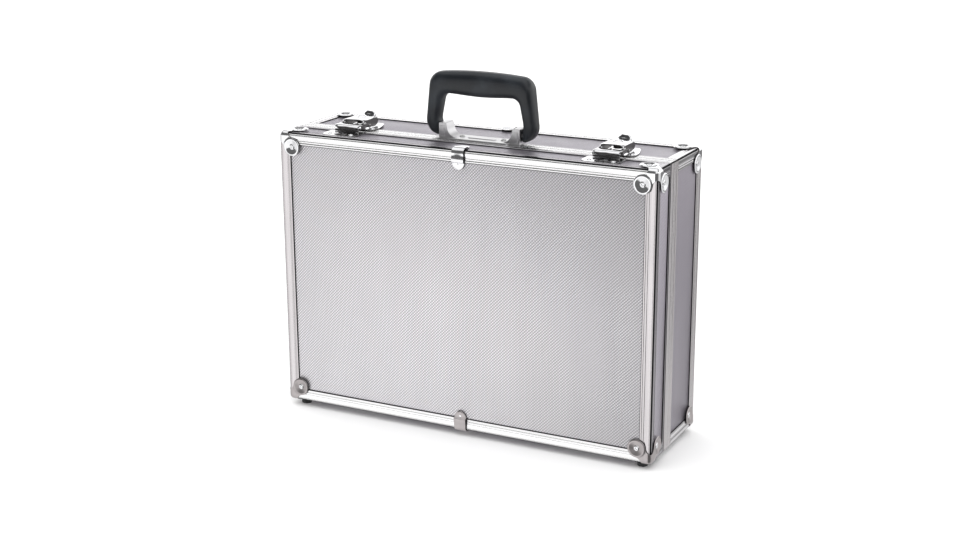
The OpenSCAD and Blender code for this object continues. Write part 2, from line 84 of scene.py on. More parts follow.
class Nodes:
    """Small builder of a node tree. A value is a number or another node's output."""

    def __init__(self, tree):
        self.tree = tree

    def add(self, kind, **settings):
        node = self.tree.nodes.new(kind)
        for key, value in settings.items():
            setattr(node, key, value)
        return node

    def link(self, source, target):
        self.tree.links.new(source, target)

    def put(self, node, index, value):
        if isinstance(value, bpy.types.NodeSocket):
            self.link(value, node.inputs[index])
        else:
            node.inputs[index].default_value = value

    def math(self, operation, *values):
        node = self.add("ShaderNodeMath", operation=operation)
        for i, value in enumerate(values):
            self.put(node, i, value)
        return node.outputs[0]

    def times(self, a, b):
        return self.math("MULTIPLY", a, b)

    def split(self, vector):
        node = self.add("ShaderNodeSeparateXYZ")
        self.link(vector, node.inputs[0])
        return node.outputs

    def ramp(self, value, low, high, to_low=0.0, to_high=1.0):
        """Smooth step from to_low at low to to_high at high."""
        node = self.add("ShaderNodeMapRange", interpolation_type="SMOOTHSTEP")
        for i, x in enumerate((value, low, high, to_low, to_high)):
            self.put(node, i, x)
        return node.outputs[0]

    def blend(self, share, a, b):
        node = self.add("ShaderNodeMix", data_type="FLOAT")
        for i, value in ((0, share), (2, a), (3, b)):
            self.put(node, i, value)
        return node.outputs[0]


class Shader(Nodes):
    """Node tree of one material."""

    def __init__(self, name):
        self.material = bpy.data.materials.new(name)
        self.material.use_nodes = True
        super().__init__(self.material.node_tree)
        self.tree.nodes.clear()
        out = self.add("ShaderNodeOutputMaterial")
        self.surface = self.add("ShaderNodeBsdfPrincipled")
        self.link(self.surface.outputs[0], out.inputs[0])
        self.object = self.add("ShaderNodeTexCoord").outputs["Object"]

    def scaled(self, scale):
        """Object coordinates, stretched along each axis."""
        node = self.add("ShaderNodeMapping")
        self.link(self.object, node.inputs[0])
        node.inputs["Scale"].default_value = scale
        return node.outputs[0]

    def noise(self, scale, detail=4.0, vector=None):
        """Noise of which the coarsest features measure about 1 m over scale."""
        node = self.add("ShaderNodeTexNoise")
        self.link(vector or self.object, node.inputs["Vector"])
        node.inputs["Scale"].default_value = scale
        node.inputs["Detail"].default_value = detail
        return node.outputs["Fac"]

    def cells(self, scale, feature):
        node = self.add("ShaderNodeTexVoronoi", feature=feature)
        self.link(self.object, node.inputs["Vector"])
        node.inputs["Scale"].default_value = scale
        return node.outputs["Distance"]

    def mix(self, share, a, b):
        """Mixes two colours."""
        node = self.add("ShaderNodeMix", data_type="RGBA")
        self.put(node, 0, share)
        for i, colour in ((6, a), (7, b)):
            self.put(node, i, colour if isinstance(colour, bpy.types.NodeSocket) else (*colour, 1.0))
        return node.outputs[2]

    def bumped(self, height, distance, strength):
        """Bumps the surface. The distance is in millimetres."""
        node = self.add("ShaderNodeBump")
        node.inputs["Strength"].default_value = strength
        node.inputs["Distance"].default_value = distance * MM
        self.link(height, node.inputs["Height"])
        self.link(node.outputs[0], self.surface.inputs["Normal"])

    def set(self, **sockets):
        for name, value in sockets.items():
            self.put(self.surface, name.replace("_", " "), value)
        return self.material


# -------- materials


def toned(colour, factor, lift=0.0):
    return tuple(c * factor + lift for c in colour)


# The embossed sheet between its diamonds, which is painted shade, on them, and where it is worn
EMBOSSED = ((0.32, 0.308, 0.33), (0.90, 0.88, 0.91), (0.64, 0.62, 0.64))
# Painted shade along the edges of the panels where they meet the trims
SEAM_SHADE_COLOUR = (0.03, 0.03, 0.032)
DIAMOND_PITCH = 3.45


def diamonds(s, a, b):
    """Rows of small diamonds over two coordinates: 0 between them and 1 on them."""
    turn = math.pi / (DIAMOND_PITCH * MM)
    rise = s.math("ABSOLUTE", s.math("SINE", s.times(s.math("SUBTRACT", a, b), turn)))
    fall = s.math("ABSOLUTE", s.math("SINE", s.times(s.math("ADD", a, b), turn)))
    return s.times(s.ramp(rise, 0.05, 0.80), s.ramp(fall, -0.25, 0.75))


def distance_inside(s, plane, window):
    """Distance inward from the nearest edge of a window, given as the low and high of each coordinate."""
    nearest = None
    for x, (low, high) in zip(plane, window):
        for gap in (s.math("SUBTRACT", x, low * MM), s.math("SUBTRACT", high * MM, x)):
            nearest = gap if nearest is None else s.math("MINIMUM", nearest, gap)
    return nearest


def embossed(name, across, up, window, side_shade=(1.0, 1.0, 1.0)):
    """Aluminium sheet embossed with rows of small diamonds, painted shade between them and lighter on
    them, and darker where it meets the trims, painted shade along that edge. Its colours are scaled by
    painted shade for the side of the case it is on.
    across and up are axis numbers, and window is the part that shows between the trims."""
    s = Shader(name)
    xyz = s.split(s.object)
    plane = (xyz[across], xyz[up])
    dots = diamonds(s, *plane)
    grime = s.noise(9.0, 5.0)
    streak = s.noise(60.0, 3.0, s.scaled((1.0, 1.0, 0.12)))
    # Colours scaled by the painted shade of this side
    low, high, worn = [tuple(c * t for c, t in zip(shade, side_shade)) for shade in EMBOSSED]
    # Painted shade between the diamonds, lighter on them, with worn patches at random
    colour = s.mix(s.ramp(grime, 0.35, 0.75, 0.0, 0.3), s.mix(dots, low, high), worn)
    # Painted shade darkens the sheet along the trims' edges
    seam_shade = s.ramp(distance_inside(s, plane, window), 0.2 * MM, 1.5 * MM, 1.0, 0.0)
    colour = s.mix(s.times(seam_shade, 0.9), colour, SEAM_SHADE_COLOUR)
    rough = s.math("ADD", s.ramp(streak, 0.2, 0.8, 0.34, 0.42), s.times(dots, -0.06))
    s.bumped(dots, 0.25, 0.5)
    return s.set(Base_Color=colour, Metallic=0.8, Roughness=rough)


def drawn_aluminium(name, axis, colour):
    """Extruded aluminium with drawing lines along one axis and light wear."""
    s = Shader(name)
    stretch = [1100.0, 1100.0, 1100.0]
    stretch[axis] = 6.0
    lines = s.noise(1.0, 3.0, s.scaled(stretch))
    wear = s.noise(14.0, 5.0)
    shade = s.mix(s.ramp(lines, 0.3, 0.7), toned(colour, 0.92), colour)
    shade = s.mix(s.ramp(wear, 0.45, 0.8, 0.0, 0.4), shade, toned(colour, 0.86))
    rough = s.math("ADD", s.ramp(wear, 0.3, 0.7, 0.15, 0.20), s.ramp(lines, 0.3, 0.7, 0.0, 0.04))
    s.bumped(lines, 0.02, 0.3)
    return s.set(Base_Color=shade, Metallic=1.0, Roughness=rough)


def plated(name, colour, rough, worn_rough, peel=0.25):
    """Bright plated steel with faint orange peel of a given strength, fine scratches and tarnish."""
    s = Shader(name)
    waves = s.noise(420.0, 2.0)
    scratch = s.noise(140.0, 6.0, s.scaled((6.0, 1.0, 1.0)))
    tarnish = s.noise(30.0, 5.0)
    shade = s.mix(s.ramp(tarnish, 0.45, 0.75, 0.0, 0.6), colour, toned(colour, 0.86))
    roughness = s.math("ADD", s.ramp(scratch, 0.35, 0.75, rough, worn_rough),
                       s.ramp(tarnish, 0.4, 0.8, 0.0, 0.05))
    s.bumped(waves, 0.02, peel)
    return s.set(Base_Color=shade, Metallic=1.0, Roughness=roughness)


def grained_plastic(name, colour, rough, grain):
    """Moulded plastic with a fine leather grain, rubbed lighter in places."""
    s = Shader(name)
    fine = s.noise(grain * 2.2, 3.0)
    height = s.math("ADD", s.cells(grain, "SMOOTH_F1"), s.times(fine, 0.5))
    rub = s.noise(32.0, 5.0)
    shade = s.mix(s.ramp(rub, 0.4, 0.75, 0.0, 1.0), colour, toned(colour, 2.2, 0.010))
    s.bumped(height, 0.12, 0.45)
    return s.set(Base_Color=shade, Roughness=s.ramp(rub, 0.3, 0.75, rough, rough + 0.14))


def cloth(name, colour, weave):
    """Short nap lining cloth with a plain weave under it."""
    s = Shader(name)
    turn = 2 * math.pi / weave
    rows = [s.math("SINE", s.times(x, turn)) for x in s.split(s.object)]
    threads = s.times(s.math("ADD", rows[0], rows[1]), s.math("ADD", rows[2], 1.3))
    nap = s.noise(1900.0, 4.0)
    patch = s.noise(24.0, 4.0)
    shade = s.mix(s.ramp(nap, 0.3, 0.7), colour, toned(colour, 1.9, 0.01))
    shade = s.mix(s.ramp(patch, 0.35, 0.75, 0.0, 0.5), shade, toned(colour, 0.7))
    s.bumped(s.math("ADD", s.times(threads, 0.2), nap), 0.35, 0.6)
    return s.set(Base_Color=shade, Roughness=s.ramp(nap, 0.2, 0.8, 0.86, 0.98), Sheen_Weight=0.35,
                 Sheen_Roughness=0.5)


def open_cell(name, colour):
    """Open cell foam: small pores all over, painted darker in them as shade."""
    s = Shader(name)
    pores = s.ramp(s.cells(900.0, "F1"), 0.15, 0.55)
    tone = s.noise(40.0, 4.0)
    # Painted shade in the pores
    shade = s.mix(pores, toned(colour, 0.35), colour)
    shade = s.mix(s.ramp(tone, 0.35, 0.75, 0.0, 0.5), shade, toned(colour, 1.5))
    s.bumped(pores, 0.5, 0.8)
    return s.set(Base_Color=shade, Roughness=s.ramp(tone, 0.2, 0.8, 0.9, 1.0))


# The part of each panel that shows between the trims
WIDE = (FACE_W - XH, XH - FACE_W)
TALL = (ZB + FACE_W, ZT - FACE_W)
LID_DEEP = (LID_SIDE_W - YH, LID_EDGE - LIP_W)
BASE_DEEP = (RIM_EDGE + RIM_W, YH - BASE_SIDE_W)
# Painted shade for how light falls on the top and on each side, against the face, with a faint mauve tone
TOP_SHADE = (0.49, 0.47, 0.51)
LID_SIDE_SHADE = (0.72, 0.69, 0.745)
BASE_SIDE_SHADE = (0.54, 0.515, 0.56)

PANEL_FACE = embossed("panel_face", 0, 2, (WIDE, TALL))
PANEL = {("lid", "top"): embossed("lid_panel_top", 0, 1, (WIDE, LID_DEEP), TOP_SHADE),
         ("base", "top"): embossed("base_panel_top", 0, 1, (WIDE, BASE_DEEP), TOP_SHADE),
         ("lid", "side"): embossed("lid_panel_side", 1, 2, (LID_DEEP, TALL), LID_SIDE_SHADE),
         ("base", "side"): embossed("base_panel_side", 1, 2, (BASE_DEEP, TALL), BASE_SIDE_SHADE)}
# The same extruded aluminium in three brightnesses by the way it runs: painted light and shade, lightest
# along X, darkest upright
TRIM = [drawn_aluminium("trim_along_x", 0, (0.91, 0.905, 0.91)),
        drawn_aluminium("trim_along_y", 1, (0.78, 0.765, 0.78)),
        drawn_aluminium("trim_along_z", 2, (0.64, 0.61, 0.62))]
# Darker copies of the trim metal for the lid's side legs: painted shade
TRIM_SHADED_COPY = [drawn_aluminium("shaded_copy_trim_along_" + "xyz"[i], i, (0.40, 0.385, 0.405)) for i in range(3)]
# Near black plating inside the trims and in the gap between lid and base: painted shadow
TRIM_SHADOW_BLACK = plated("trim_shadow_black", (0.035, 0.035, 0.037), 0.5, 0.65)
CHROME = plated("chrome", (0.86, 0.86, 0.875), 0.07, 0.16)
BRUSHED = plated("brushed_plate", (0.64, 0.635, 0.645), 0.30, 0.34, 0.05)
SATIN = plated("satin_nickel", (0.50, 0.465, 0.465), 0.3, 0.42)
# Dark plating for the cut edges and upright faces of pressed parts: painted shade
DARK_EDGE_SHADE = plated("dark_edge_shade", (0.13, 0.125, 0.125), 0.35, 0.5)
ZINC = plated("zinc_steel", (0.70, 0.70, 0.70), 0.26, 0.4)
HANDLE_BLACK = grained_plastic("handle_black", (0.006, 0.008, 0.011), 0.33, 1500.0)
RUBBER = grained_plastic("foot_rubber", (0.012, 0.012, 0.013), 0.62, 1100.0)
LINING = cloth("lining_cloth", (0.035, 0.036, 0.042), 1.1 * MM)
FOAM = open_cell("foam_charcoal", (0.075, 0.076, 0.082))

# -------- shapes
# A part is a pair of lists, vertices in millimetres and faces. Pieces are made from parts.


def joined(parts):
    verts, faces = [], []
    for v, f in parts:
        faces += [tuple(i + len(verts) for i in face) for face in f]
        verts += v
    return verts, faces


def placed(part, matrix):
    """Moves a part, and turns its faces over where the matrix mirrors."""
    verts = [tuple(matrix @ Vector(v)) for v in part[0]]
    if matrix.determinant() < 0:
        return verts, [tuple(reversed(f)) for f in part[1]]
    return verts, list(part[1])


def moved(part, x, y, z):
    return placed(part, Matrix.Translation((x, y, z)))


def both_sides(part):
    return joined([part, placed(part, Matrix.Diagonal((-1, 1, 1, 1)))])


def lying(part, y=0, z=0):
    """Lays a part down: its X and Y become Y and Z, and its height runs along X."""
    return placed(part, Matrix(((0, 0, 1, 0), (1, 0, 0, y), (0, 1, 0, z), (0, 0, 0, 1))))


def loft(rings, close_ends=True, round_trip=False):
    """Skin over rings of equal length. Each ring is a closed loop of points."""
    n = len(rings[0])
    verts = [tuple(p) for ring in rings for p in ring]
    faces = []
    last = len(rings) if round_trip else len(rings) - 1
    for k in range(last):
        a = k * n
        b = (k + 1) % len(rings) * n
        faces += [(a + i, a + (i + 1) % n, b + (i + 1) % n, b + i) for i in range(n)]
    if close_ends:
        faces.append(tuple(range(n - 1, -1, -1)))
        faces.append(tuple((len(rings) - 1) * n + i for i in range(n)))
    return verts, faces


def prism(outline, low, high):
    """Upright solid over an outline in X and Y."""
    return loft([[(x, y, z) for x, y in outline] for z in (low, high)])


def revolved(profile, segments=32):
    """Solid of rotation round Z. The profile runs from the axis out and back to the axis."""
    angles = [2 * math.pi * i / segments for i in range(segments)]
    rings = [[(r * math.cos(a), r * math.sin(a), z) for a in angles] for r, z in profile[1:-1]]
    verts, faces = loft(rings, close_ends=False)
    n = len(rings) * segments
    verts += [(0, 0, profile[0][1]), (0, 0, profile[-1][1])]
    faces += [(n, (i + 1) % segments, i) for i in range(segments)]
    top = n - segments
    faces += [(n + 1, top + i, top + (i + 1) % segments) for i in range(segments)]
    return verts, faces


def ring_solid(profile, segments=32):
    """Ring of rotation round Z from a closed profile."""
    rings = []
    for i in range(segments):
        a = 2 * math.pi * i / segments
        rings.append([(r * math.cos(a), r * math.sin(a), z) for r, z in profile])
    return loft(rings, close_ends=False, round_trip=True)


def arc(cx, cy, r, a0, a1, n):
    """Points on an arc between two angles in degrees, in n steps."""
    angles = [math.radians(a0 + (a1 - a0) * i / n) for i in range(n + 1)]
    return [(cx + r * math.cos(a), cy + r * math.sin(a)) for a in angles]


def between(a, b, n):
    return [(a[0] + (b[0] - a[0]) * i / n, a[1] + (b[1] - a[1]) * i / n) for i in range(n + 1)]


def rectangle(x, low, high):
    """Outline from -x to x and from low to high."""
    return [(-x, low), (x, low), (x, high), (-x, high)]


def rounded(outline, radius, n=5):
    """Rounds the corners of a polygon."""
    out = []
    for i, p in enumerate(outline):
        p = Vector(p)
        before = Vector(outline[i - 1]) - p
        after = Vector(outline[(i + 1) % len(outline)]) - p
        r = min(radius, before.length * 0.45, after.length * 0.45)
        a, b = p + before.normalized() * r, p + after.normalized() * r
        for k in range(n + 1):
            t = k / n
            out.append(tuple(a * (1 - t) ** 2 + p * 2 * t * (1 - t) + b * t * t))
    return out


def superellipse(n, power):
    out = []
    for i in range(n):
        a = 2 * math.pi * i / n
        c, s = math.cos(a), math.sin(a)
        out.append((math.copysign(abs(c) ** (2 / power), c), math.copysign(abs(s) ** (2 / power), s)))
    return out


# -------- pieces

MERGE_M = 2e-6
# How deep a trim's outside reaches, half of the gap, which is painted dark as shadow, and where the lid's
# sides start
TRIM_SKIN = 0.55
GAP_HALF = 1.1
FRONT_SKIN = 0.9


def smooth_mesh(name, part, sharp, recalc):
    """Mesh of a part, shaded smooth up to edges of sharp degrees."""
    mesh = bpy.data.meshes.new(name)
    mesh.from_pydata([tuple(c * MM for c in v) for v in part[0]], [], part[1])
    work = bmesh.new()
    work.from_mesh(mesh)
    bmesh.ops.remove_doubles(work, verts=work.verts, dist=MERGE_M)
    if recalc:
        bmesh.ops.recalc_face_normals(work, faces=work.faces)
    for edge in work.edges:
        edge.smooth = edge.calc_face_angle(0.0) < math.radians(sharp)
    for face in work.faces:
        face.smooth = True
    work.to_mesh(mesh)
    work.free()
    return mesh


def thicken(obj, wall):
    """Gives a skin its wall, inward. The cut edges take the second material, a dark plating of painted
    shade.
    """
    solid = obj.modifiers.new("wall", "SOLIDIFY")
    solid.thickness = wall * MM
    solid.offset = -1.0
    solid.use_even_offset = True
    solid.material_offset_rim = 1


def soften(obj, width, angle=38):
    """Rounds the edges of a piece or node that are sharper than angle by width, in millimetres."""
    soft = obj.modifiers.new("soft", "BEVEL")
    soft.width = width * MM
    soft.segments = 2
    soft.limit_method = "ANGLE"
    soft.angle_limit = math.radians(angle)
    soft.harden_normals = True


def dark_edge_shade(face):
    """1 for the upright faces of a pressed part, which are its cut edges and take a dark plating of
    painted shade, and 0 for the others.
    """
    return int(abs(face.normal.z) < 0.4)


def trim_part(face):
    """Which metal a trim's face has: 0 outside, 1 inside and in the gap, near black as painted shadow, 2
    on the lid's sides, a darker copy as painted shade.
    """
    centre = face.center / MM
    depth = min(XH - abs(centre.x), YH - abs(centre.y), HALF_H - abs(centre.z - ZC))
    if depth > TRIM_SKIN or abs(centre.y - GAP_Y) < GAP_HALF:
        return 1
    # The lid's side legs take the darker copy, painted shade
    return 2 if YH + centre.y > FRONT_SKIN and centre.y < GAP_Y else 0


def piece(name, part, body, slot, material, nodes=(), sharp=35, bevel=0.0, recalc=True, wall=0.0,
          others=(), choose=None):
    """Makes one Blender piece from a part, and sets what it rides on, replaces and is made of.
    others are further materials, and choose gives the number of a face's material."""
    mesh = smooth_mesh(name, part, sharp, recalc)
    for metal in (material, *others):
        mesh.materials.append(metal)
    if choose:
        for face in mesh.polygons:
            face.material_index = choose(face)
    obj = bpy.data.objects.new(name, mesh)
    bpy.context.scene.collection.objects.link(obj)
    if wall:
        thicken(obj, wall)
    if bevel:
        soften(obj, bevel)
    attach(obj, body)
    if nodes:
        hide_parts(*nodes)
    return obj


def dress(node, material, width=0.25):
    """Gives a CAD node its material and softens its edges."""
    obj = frame["nodes"][node]
    obj.data.materials.clear()
    obj.data.materials.append(material)
    weld = obj.modifiers.new("weld", "WELD")
    weld.merge_threshold = 1e-6
    flat = obj.modifiers.new("flat", "DECIMATE")
    flat.decimate_type = "DISSOLVE"
    flat.angle_limit = math.radians(1.0)
    soften(obj, width)
    for face in obj.data.polygons:
        face.use_smooth = True


# -------- extruded trims
# Beads are given by where they start and end across a flange.

FACE_BEADS = [(2.0, 7.4), (8.4, 10.1), (11.0, FACE_W)]
LID_SIDE_BEADS = [(2.0, 6.5), (7.2, LID_SIDE_W)]
BASE_SIDE_BEADS = [(2.0, 6.9), (7.6, 9.6), (10.4, BASE_SIDE_W)]
ANGLE_BEADS = [(2.0, 6.6), (7.4, 9.1), (9.9, ANGLE_W)]
RIM_BEADS = [(1.1, 3.3), (4.0, 8.2), (9.0, 11.6), (12.4, 16.9), (17.6, 20.1)]
GROOVE = 0.25
TRIM_R = 1.5
BLOCK = INNER - SHEET
TONGUE_IN = 8.2
TONGUE_OUT = 7.0
TONGUE_L = 4
MITRE_GAP = 0.03


def beaded(beads, start, end):
    """Places across a flange and how deep it lies there: rounded beads with grooves between them."""
    out = [(start, 0.0 if start else GROOVE)]
    for low, high in beads:
        middle, half = (low + high) / 2, (high - low) / 2
        for t in (-1, -0.92, -0.75, -0.45, 0, 0.45, 0.75, 0.92, 1):
            out.append((middle + half * t, GROOVE * abs(t) ** 3))
    return [p for p in out if start <= p[0] <= end]


def edge_outline(face_w, face_beads, side_w, side_beads):
    """Outline of an angle trim: X is the depth from the face, Y the distance inward from the side."""
    face = [(h, u) for u, h in reversed(beaded(face_beads, TRIM_R, face_w))]
    turn = arc(TRIM_R, TRIM_R, TRIM_R, 172, 98, 5)
    side = beaded(side_beads, TRIM_R, side_w)
    inside = [(side_w, SHEET), (INNER, SHEET), (INNER, BLOCK), (side_w, BLOCK), (side_w, INNER),
              (INNER, INNER), (INNER, face_w), (BLOCK, face_w), (BLOCK, INNER), (SHEET, INNER),
              (SHEET, face_w)]
    return face + turn + side + inside


def rim_outline():
    """Outline of the base's rim with its tongue. X is the depth from the rim's edge."""
    outer = [(0.0, 1.0), (0.5, 0.5)] + beaded(RIM_BEADS, 0.0, RIM_W)[1:]
    channel = [(RIM_W, SHEET), (SHEET, SHEET), (SHEET, BLOCK), (RIM_W, BLOCK), (RIM_W, INNER),
               (SHEET, INNER)]
    tongue = [(SHEET, TONGUE_IN), (-TONGUE_L, TONGUE_IN), (-TONGUE_L, TONGUE_OUT), (0, TONGUE_OUT),
              (0, SHEET)]
    return outer + channel + tongue


def lip_outline():
    """Outline of the channel that closes the lid's panels. X is the depth from its edge, < 0 inward."""
    outer = [(-LIP_W, 0.45), (-2.7, 0.08), (-2.0, 0.0), (-1.0, 0.0), (-0.6, 0.4), (0.0, 1.0)]
    return outer + [(0, SHEET), (0, INNER), (-LIP_W, INNER), (-LIP_W, BLOCK), (-SHEET, BLOCK),
                    (-SHEET, SHEET), (-LIP_W, SHEET)]


def rail(outline, side, to_y):
    """One trim of a rectangular frame, mitred at both ends. to_y turns the outline's X into Y."""
    across = side in ("top", "bottom")
    half = XH if across else HALF_H
    rings = []
    for end in (-1, 1):
        ring = []
        for a, b in outline:
            along = end * (half - max(b, SHEET) - MITRE_GAP)
            if across:
                ring.append((along, to_y(a), ZT - b if side == "top" else ZB + b))
            else:
                ring.append((XH - b if side == "right" else b - XH, to_y(a), ZC + along))
        rings.append(ring)
    return loft(rings)


def corner_rails(y0, y1):
    """Four angle trims along the depth."""
    outline = edge_outline(ANGLE_W, ANGLE_BEADS, ANGLE_W, ANGLE_BEADS)
    return joined([loft([[(sx * (XH - a), y, ZC + sz * (HALF_H - b)) for a, b in outline]
                         for y in (y0, y1)]) for sx in (-1, 1) for sz in (-1, 1)])


def trim(name, part, body, axis, node):
    piece(name, part, body, "trim_aluminium", TRIM[axis], [node], others=[TRIM_SHADOW_BLACK, TRIM_SHADED_COPY[axis]],
          choose=trim_part)


def frame_of_rails(name, outline, to_y, body, node):
    """Four mitred rails in two pieces, one for each direction that the metal was drawn in."""
    for kind, sides, axis in (("across", ("top", "bottom"), 0), ("upright", ("left", "right"), 2)):
        part = joined([rail(outline, side, to_y) for side in sides])
        trim(name + "_" + kind, part, body, axis, node)


def trims():
    front = edge_outline(FACE_W, FACE_BEADS, LID_SIDE_W, LID_SIDE_BEADS)
    back = edge_outline(FACE_W, FACE_BEADS, BASE_SIDE_W, BASE_SIDE_BEADS)
    for side in ("top", "bottom", "left", "right"):
        axis = 0 if side in ("top", "bottom") else 2
        trim("front_trim_" + side, rail(front, side, lambda a: a - YH), "lid", axis, "front_edge_" + side)
        trim("back_trim_" + side, rail(back, side, lambda a: YH - a), "base", axis, "back_edge_" + side)
    frame_of_rails("rim", rim_outline(), lambda a: a + RIM_EDGE, "base", "base_rim")
    frame_of_rails("lip", lip_outline(), lambda a: a + LID_EDGE, "lid", "lid_rim")
    trim("lid_angles", corner_rails(*LID_DEEP), "lid", 1, "lid_corner_angles")
    trim("base_angles", corner_rails(*BASE_DEEP), "base", 1, "base_corner_angles")


# -------- corner caps

LOBE_IN = 16.0
LOBE_R = 10.3
CAP_ARM = 11.8
CAP_WALL = 1.15
CAP_GRID = 1.15
DISH = 0.2
DISH_R = 8.6
DISH_FLOOR_R = 2.4
# Radius of each ring of points on a lobe, and how many points it has
LOBE_RINGS = ((1.4, 6), (2.4, 12), (3.6, 18), (5.0, 24), (6.4, 28), (7.8, 34), (8.6, 38), (9.1, 40),
              (9.7, 44))
# Each face's direction along Y and its body. Each end's direction along Z and its caps' plating
SHELLS = (("front", -1, "lid"), ("back", 1, "base"))
ENDS = (("top", 1, CHROME), ("bottom", -1, SATIN))
# Profiles of the rivets' heads: radius and height
TUBULAR = [(0, 0.5), (0.75, 0.5), (1.05, 0.72), (1.2, 1.05), (1.55, 1.18), (2.2, 1.08), (2.8, 0.82),
           (3.2, 0.42), (3.4, 0.05), (3.4, -0.3), (0, -0.3)]
SOLID_HEAD = [(0, 1.1), (0.5, 1.09), (1.1, 1.0), (1.7, 0.8), (2.2, 0.5), (2.5, 0.18), (2.6, 0.0),
              (2.6, -0.3), (0, -0.3)]


def leaf_points():
    """Outline of a cap's leaf on one face, from the cap's outer corner, and points inside it.
    Two arms run along the edges and meet the lobe's disc in fillets."""
    c = LOBE_IN + SHEET
    slack = LOBE_R - CAP_ARM
    f = (2 * c * c - slack * slack) / (2 * c + 2 * slack)
    fillet = f - CAP_ARM
    start = math.degrees(math.atan2(-c, f - c))
    reach = math.degrees(math.atan2(c, c - f))
    steps = 9
    half = [(CAP_ARM * i / steps, 0.0) for i in range(1, steps)]
    half += arc(f, 0, fillet, 180, reach, 6)
    disc = arc(c, c, LOBE_R, start, 90 - start, 40)[1:-1]
    outline = [(0.0, 0.0)] + half + disc + [(y, x) for x, y in reversed(half)]
    inside = [(c, c)]
    for r, n in LOBE_RINGS:
        inside += [(c + r * math.cos(a), c + r * math.sin(a))
                   for a in (2 * math.pi * (i + 0.5) / n for i in range(n))]
    for i in range(1, 14):
        for j in range(1, 14):
            p = (i * CAP_GRID, j * CAP_GRID)
            clear = min(math.dist(p, (f, 0)), math.dist(p, (0, f))) > fillet + 0.7
            if math.dist(p, (c, c)) > LOBE_R and clear and max(p) < CAP_ARM + 4:
                inside.append(p)
    return outline, inside


def leaf():
    """Flat leaf of a cap on one face: points and triangles."""
    outline, inside = leaf_points()
    n = len(outline)
    edges = [(i, (i + 1) % n) for i in range(n)]
    got = delaunay_2d_cdt([Vector(p) for p in outline + inside], edges, [], 1, 1e-5)
    return [tuple(p) for p in got[0]], [tuple(f) for f in got[2]]


def pressed(p, q):
    """A leaf's point on the pressed cap: rounded over the edges, with a dish pressed round the rivet."""
    r = EDGE_R + SHEET
    core = Vector((max(p, r), max(q, r), r))
    point = core + (Vector((p, q, 0)) - core).normalized() * r
    away = math.dist((p, q), (LOBE_IN + SHEET, LOBE_IN + SHEET))
    dish = -1.1 + 1.9 * min(max((away - DISH_FLOOR_R) / 6.2, 0.0), 1.0)
    point.z -= dish if away < DISH_R else 0.8 * max(1 - ((away - DISH_R) / 1.6) ** 2, 0.0)
    return point


def corner_cap():
    """Cap at a corner, in distances inward from its outer corner."""
    flat, triangles = leaf()
    parts = []
    for turn in range(3):
        verts = []
        for p, q in flat:
            point = pressed(p, q)
            verts.append(tuple(point[(i + turn) % 3] for i in range(3)))
        parts.append((verts, [tuple(reversed(t)) for t in triangles]))
    return joined(parts)


def to_corner(sx, sy, sz):
    """From distances inward of a corner's outer point to the case."""
    reach = Vector((XH + SHEET, YH + SHEET, HALF_H + SHEET))
    corner = (sx * reach.x, sy * reach.y, ZC + sz * reach.z)
    return Matrix.Translation(corner) @ Matrix.Diagonal((-sx, -sy, -sz, 1))


def standing_on(place, out):
    """Turns Z outward and moves to a place."""
    turn = Vector(out).to_track_quat("Z", "Y").to_matrix().to_4x4()
    return Matrix.Translation(place) @ turn


def cap_rivet_places(sx, sy, sz):
    """Where the rivets of one cap stand and which way they face. Underneath, a foot takes its place."""
    x, y, z = sx * (XH - LOBE_IN), sy * (YH - LOBE_IN), ZC + sz * (HALF_H - LOBE_IN)
    places = [((x, sy * (YH + DISH), z), (0, sy, 0)), ((sx * (XH + DISH), y, z), (sx, 0, 0))]
    if sz > 0:
        places.append(((x, y, ZT + DISH), (0, 0, 1)))
    return places


def pressed_sheet(name, part, body, metal, node, sharp, wall):
    """Skin of a pressed part, with its wall and softened edges."""
    skin = piece(name, part, body, "chrome", metal, [node], sharp=sharp, recalc=False, wall=wall,
                 others=[DARK_EDGE_SHADE])
    soften(skin, 0.2, 50)


def caps():
    cap = corner_cap()
    head = revolved(TUBULAR)
    for face, sy, body in SHELLS:
        rivets = []
        for where, sz, metal in ENDS:
            parts = joined([placed(cap, to_corner(sx, sy, sz)) for sx in (-1, 1)])
            pressed_sheet(face + "_caps_" + where, parts, body, metal, face + "_corner_caps", 60, CAP_WALL)
            for sx in (-1, 1):
                rivets += [placed(head, standing_on(*spot)) for spot in cap_rivet_places(sx, sy, sz)]
        piece(face + "_cap_rivet_heads", joined(rivets), body, "chrome", CHROME, [face + "_cap_rivets"])


# -------- clips

CLIP_HALF = 7.0
CLIP_WALL = 1.1
CLIP_COLUMNS = 10


def clip_path():
    """Outer line of a clip in the middle of an edge: depth from the face, distance from the side."""
    face = [(0.0, 21 - 0.7 * i) for i in range(10)]
    step = [(-0.12, 13.9), (-0.6, 13.45), (-1.7, 12.9), (-2.2, 12.3), (-2.24, 11.4),
            (-2.15, 10), (-1.95, 8.6), (-1.66, 7.3), (-1.4, 6.2)]
    turn = arc(EDGE_R, EDGE_R, EDGE_R + SHEET, 180, 90, 8)
    turn = [(x, 2 * EDGE_R - y) for x, y in turn]
    down = [(6.5, -1.2), (8.1, -1.2), (8.5, -1.08), (9.0, -0.6), (9.5, -0.12), (9.8, 0.0)]
    flat = [(10.4 + 0.76 * i, 0.0) for i in range(11)]
    return face + step + turn + down + flat


